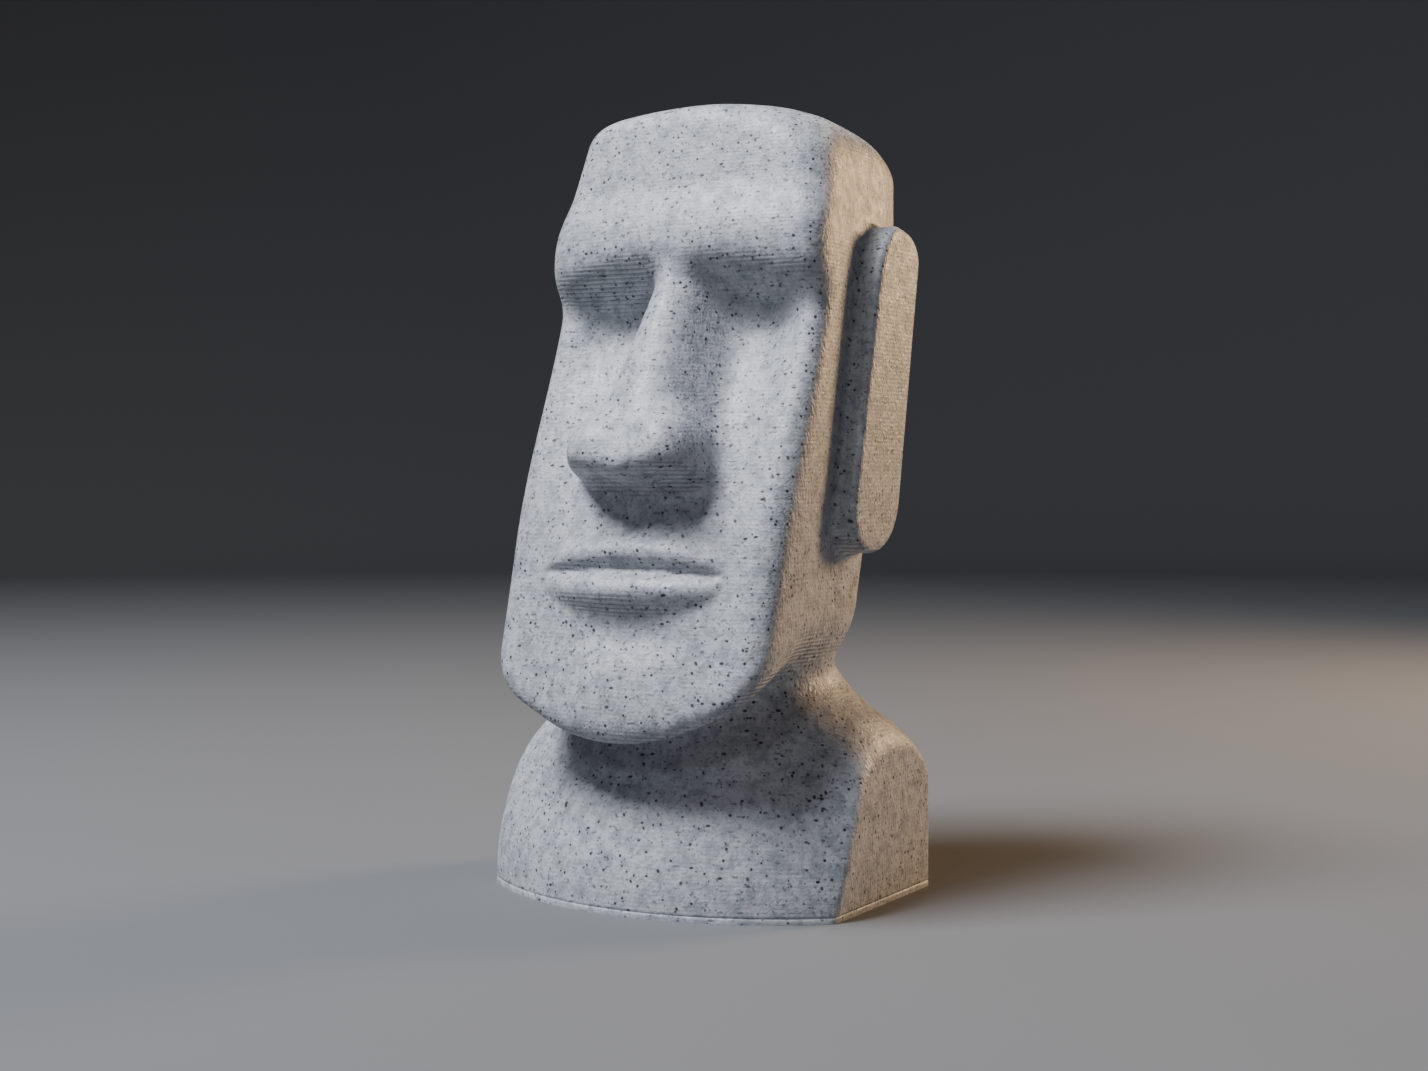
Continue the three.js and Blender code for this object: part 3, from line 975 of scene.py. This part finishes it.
@dataclass(frozen=True)
class MarblePrint:
    """Marble-filled plastic, cool, pale and speckled, printed in fine level layers; sizes in millimetres.

    A span gives the two values of a pattern between which its effect grows.
    """

    pale: Colour = (0.54, 0.555, 0.59, 1.0)
    cloud: Colour = (0.31, 0.33, 0.375, 1.0)
    wrinkle: Colour = (0.26, 0.275, 0.32, 1.0)
    # Dark colour of the faint threads, also used as painted shade between the print layers.
    thread_and_groove_shade: Colour = (0.12, 0.125, 0.165, 1.0)
    speck: Colour = (0.018, 0.018, 0.03, 1.0)
    cloud_size: float = 1.15
    cloud_roughness: float = 0.66
    cloud_span: tuple[float, float] = (0.38, 0.72)
    wrinkle_span: tuple[float, float] = (0.45, 0.75)
    wrinkle_share: float = 0.85
    layer: float = 0.3
    waver: float = 0.25
    patch_size: float = 5.0
    patch_span: tuple[float, float] = (0.35, 0.65)
    patch_least: float = 0.25
    overhang_span: tuple[float, float] = (-0.1, -0.6)
    ridge: float = 0.002
    overhang_ridge: float = 0.03
    # Painted shade: how far the hollows between layers are darkened where the surface hangs over.
    groove: float = 0.5
    groove_shade_span: tuple[float, float] = (0.1, -0.9)
    tooth_size: float = 0.42
    tooth_roughness: float = 0.62
    tooth_swirl: float = 1.1
    tooth: float = 0.026
    streak_size: float = 0.24
    streak_length: float = 2.5
    streak: float = 0.035
    side_span: tuple[float, float] = (0.6, 0.95)
    wear_size: float = 1.2
    wear_span: tuple[float, float] = (0.3, 0.7)
    roughness: tuple[float, float] = (0.41, 0.55)
    ior: float = 1.46
    pattern_shift: float = 13.0
    threads: tuple[Specks, ...] = (
        Specks(Lie.LEVEL, 3.4, 0.46, 0.08, 0.75, 0.035),
        Specks(Lie.RISING, 3.2, 0.48, 0.08, 0.75, 0.035),
        Specks(Lie.FALLING, 3.0, 0.5, 0.08, 0.75, 0.035),
    )
    specks: tuple[Specks, ...] = (
        Specks(Lie.UPRIGHT, 1.0, 0.52, 0.105, 0.95),
        Specks(Lie.FALLING, 1.7, 0.68, 0.1, 0.95),
        Specks(Lie.LEVEL, 1.8, 0.7, 0.1, 0.95),
    )

    def layers(self, sheet: Sheet, place: Socket, grit: Socket) -> tuple[Socket, Socket]:
        """Lay out the level print layers.

        Args:
            sheet: The material's sheet.
            place: Place on the piece.
            grit: The fine tooth of the surface, by which the layers waver.

        Returns:
            Their wave, from minus one in a groove to one, and how plainly it shows, from nought to one where
            the surface hangs over.
        """
        height = sheet.add("SeparateXYZ", {0: place}).outputs["Z"]
        waver = sheet.sum("MULTIPLY", grit, self.waver)
        turns = sheet.sum("ADD", sheet.sum("DIVIDE", height, self.layer * MM), waver)
        wave = sheet.sum("SINE", sheet.sum("MULTIPLY", turns, 2.0 * math.pi))
        facing = sheet.add("SeparateXYZ", {0: sheet.add("NewGeometry").outputs["Normal"]}).outputs["Z"]
        patches = sheet.clouds(place, self.patch_size, detail=0.0)
        shown = sheet.ramp(patches, *self.patch_span, self.patch_least, 1.0)
        return wave, sheet.sum("MULTIPLY", sheet.ramp(facing, *self.overhang_span), shown)

    def colour(self, sheet: Sheet, place: Socket, grit: Socket, wave: Socket, plain: Socket) -> Socket:
        """Lay out the plastic's colour: soft clouds, painted shade in the hollows between layers, faint
        threads and dark grains.

        Args:
            sheet: The material's sheet.
            place: Place on the piece.
            grit: The fine tooth of the surface.
            wave: The print layers' wave.
            plain: How plainly the layers show, and so how much painted shade lies between them.

        Returns:
            The colour.
        """
        mottle = sheet.clouds(place, self.cloud_size, detail=3.0, roughness=self.cloud_roughness)
        colour = sheet.blend(sheet.ramp(mottle, *self.cloud_span), self.pale, self.cloud)
        wrinkles = sheet.ramp(grit, *self.wrinkle_span, 0.0, self.wrinkle_share)
        colour = sheet.blend(wrinkles, colour, self.wrinkle)
        # Painted shade: darken the hollows between layers where the surface hangs over, standing in for the
        # shade that falls in them.
        painted_groove_shade = sheet.sum("MULTIPLY", sheet.ramp(wave, *self.groove_shade_span, 0.0, self.groove), plain)
        colour = sheet.blend(painted_groove_shade, colour, self.thread_and_groove_shade)
        marks = [(specks, self.thread_and_groove_shade) for specks in self.threads]
        marks += [(specks, self.speck) for specks in self.specks]
        for count, (specks, tint) in enumerate(marks):
            shift = count * self.pattern_shift * MM
            colour = sheet.blend(specks.strength(sheet, place, shift), colour, tint)
        return colour

    def relief(self, sheet: Sheet, place: Socket, grit: Socket, wave: Socket, plain: Socket) -> Socket:
        """Lay out the fine relief: level print ridges, a wrinkled tooth and streaks on the sides.

        Args:
            sheet: The material's sheet.
            place: Place on the piece.
            grit: The fine tooth of the surface.
            wave: The print layers' wave.
            plain: How plainly the layers show.

        Returns:
            The height in millimetres.
        """
        facing = sheet.add("SeparateXYZ", {0: sheet.add("NewGeometry").outputs["Normal"]}).outputs["X"]
        ridges = sheet.sum("MULTIPLY", wave, sheet.ramp(plain, 0.0, 1.0, self.ridge, self.overhang_ridge))
        stretch = {"Vector": place, "Scale": (1.0, 1.0, self.streak_length)}
        drawn = sheet.add("Mapping", stretch, vector_type="TEXTURE").outputs["Vector"]
        streaks = sheet.clouds(drawn, self.streak_size, detail=1.0)
        sideways = sheet.ramp(sheet.sum("ABSOLUTE", facing), *self.side_span, 0.0, 2.0 * self.streak)
        teeth = sheet.sum("MULTIPLY", grit, 2.0 * self.tooth)
        rough = sheet.sum("ADD", teeth, sheet.sum("MULTIPLY", streaks, sideways))
        return sheet.sum("ADD", ridges, rough)

    def material(self) -> bpy.types.Material:
        """Make the material.

        Returns:
            The finished material.
        """
        sheet = Sheet("marble_print")
        place = sheet.add("TexCoord").outputs["Object"]
        swirled = {"roughness": self.tooth_roughness, "distortion": self.tooth_swirl}
        grit = sheet.clouds(place, self.tooth_size, detail=2.0, **swirled)
        wave, plain = self.layers(sheet, place, grit)
        shader = sheet.shader.inputs
        sheet.feed(shader["Base Color"], self.colour(sheet, place, grit, wave, plain))
        worn = sheet.clouds(place, self.wear_size, detail=1.0)
        sheet.feed(shader["Roughness"], sheet.ramp(worn, *self.wear_span, *self.roughness))
        height = self.relief(sheet, place, grit, wave, plain)
        bump = sheet.add("Bump", {"Height": height, "Distance": MM, "Strength": 1.0})
        sheet.feed(shader["Normal"], bump.outputs["Normal"])
        shader["IOR"].default_value = self.ior
        return sheet.material


@dataclass(frozen=True)
class PaleFloor:
    """A plain pale floor that sweeps up into a backdrop all round, in metres."""

    radius: float = 0.55
    sweep: float = 0.25
    wall: float = 0.05
    sweep_steps: int = 12
    turn_steps: int = 96
    colour: Colour = (0.17, 0.175, 0.185, 1.0)
    roughness: float = 0.75

    def build(self) -> bpy.types.Object:
        """Spin the floor's outline round the figure.

        Returns:
            The floor.
        """
        work = bmesh.new()
        middle = work.verts.new((0.0, 0.0, 0.0))
        outline = [middle, work.verts.new((self.radius, 0.0, 0.0))]
        for step in range(1, self.sweep_steps + 1):
            angle = step / self.sweep_steps * math.pi / 2.0
            out = self.radius + self.sweep * math.sin(angle)
            outline.append(work.verts.new((out, 0.0, self.sweep * (1.0 - math.cos(angle)))))
        outline.append(work.verts.new((self.radius + self.sweep, 0.0, self.sweep + self.wall)))
        edges = [work.edges.new(pair) for pair in zip(outline, outline[1:])]
        bmesh.ops.spin(
            work,
            geom=[*outline, *edges],
            cent=(0, 0, 0),
            axis=(0, 0, 1),
            angle=2.0 * math.pi,
            steps=self.turn_steps,
            use_merge=True,
        )
        bmesh.ops.remove_doubles(work, verts=work.verts[:], dist=WELD * MM)
        bmesh.ops.recalc_face_normals(work, faces=work.faces[:])
        mesh = bpy.data.meshes.new("floor")
        work.to_mesh(mesh)
        work.free()
        mesh.shade_smooth()
        floor = bpy.data.objects.new("floor", mesh)
        bpy.context.scene.collection.objects.link(floor)
        sheet = Sheet("pale_floor")
        sheet.shader.inputs["Base Color"].default_value = self.colour
        sheet.shader.inputs["Roughness"].default_value = self.roughness
        sheet.shader.inputs["Specular IOR Level"].default_value = 0.0
        mesh.materials.append(sheet.material)
        return floor


@dataclass(frozen=True)
class Lamp:
    """A soft square lamp that looks at the figure, in metres and watts."""

    name: str
    azimuth: float
    elevation: float
    distance: float
    size: float
    power: float
    colour: tuple[float, float, float]

    def build(self, target: Vector) -> bpy.types.Object:
        """Hang the lamp and turn it to the target.

        Args:
            target: The point that it looks at.

        Returns:
            The lamp.
        """
        data = bpy.data.lights.new(self.name, "AREA")
        data.shape = "SQUARE"
        data.size = self.size
        data.energy = self.power
        data.color = self.colour
        lamp = bpy.data.objects.new(self.name, data)
        turn, rise = math.radians(self.azimuth), math.radians(self.elevation)
        away = Vector((math.sin(turn) * math.cos(rise), -math.cos(turn) * math.cos(rise), math.sin(rise)))
        lamp.location = target + away * self.distance
        lamp.rotation_euler = (-away).to_track_quat("-Z", "Y").to_euler()
        bpy.context.scene.collection.objects.link(lamp)
        return lamp


@dataclass(frozen=True)
class Studio:
    """The photograph's view and a plain soft light, in metres."""

    azimuth: float = 0.5398
    distance: float = 0.15317
    height: float = 0.03116
    pitch: float = 0.0269
    yaw: float = -0.0019
    lens: float = 50.0
    clip_start: float = 0.005
    lamps: tuple[Lamp, ...] = (
        Lamp("key", -36.0, 61.0, 0.38, 0.16, 2.95, (0.93, 0.96, 1.0)),
        Lamp("fill", 8.0, 30.0, 0.45, 0.06, 0.13, (0.84, 0.89, 1.0)),
        Lamp("side", 149.0, 17.0, 0.27, 0.07, 0.74, (1.0, 0.65, 0.35)),
    )
    sky: Colour = (0.80, 0.86, 0.95, 1.0)
    sky_strength: float = 0.01

    def build(self, stand_back: float) -> None:
        """Set the camera, the lamps and the sky.

        Args:
            stand_back: How far the figure's own axis stands behind the frame's origin.
        """
        camera = bpy.data.objects.new("camera", bpy.data.cameras.new("camera"))
        camera.data.lens = self.lens
        camera.data.clip_start = self.clip_start
        turn = self.azimuth + self.yaw
        out = Vector((math.sin(self.azimuth), -math.cos(self.azimuth), 0.0)) * self.distance
        camera.location = out + Vector((0.0, stand_back, self.height))
        camera.rotation_euler = (math.pi / 2.0 - self.pitch, 0.0, turn)
        bpy.context.scene.collection.objects.link(camera)
        bpy.context.scene.camera = camera
        for lamp in self.lamps:
            lamp.build(Vector((0.0, 0.0, self.height)))
        world = bpy.data.worlds.new("sky")
        world.use_nodes = True
        background = world.node_tree.nodes["Background"]
        background.inputs["Color"].default_value = self.sky
        background.inputs["Strength"].default_value = self.sky_strength
        bpy.context.scene.world = world


def main() -> None:
    """Build the figure and its studio, in order."""
    logging.basicConfig(level=logging.INFO, format="%(message)s")
    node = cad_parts[NODE]
    bust = Bust()
    stand_back = bust.stand_back(node) * MM
    Studio().build(stand_back)
    PaleFloor().build()
    LOG.info("studio: camera, lamps and pale floor")
    piece = bust.build(node)
    LOG.info("moai_figure: %d faces, stands %.3f mm back", len(piece.data.polygons), stand_back / MM)
    bust.dress(piece, MarblePrint())
    LOG.info("moai_figure: dressed in marble print")


if __name__ == "__main__":
    main()
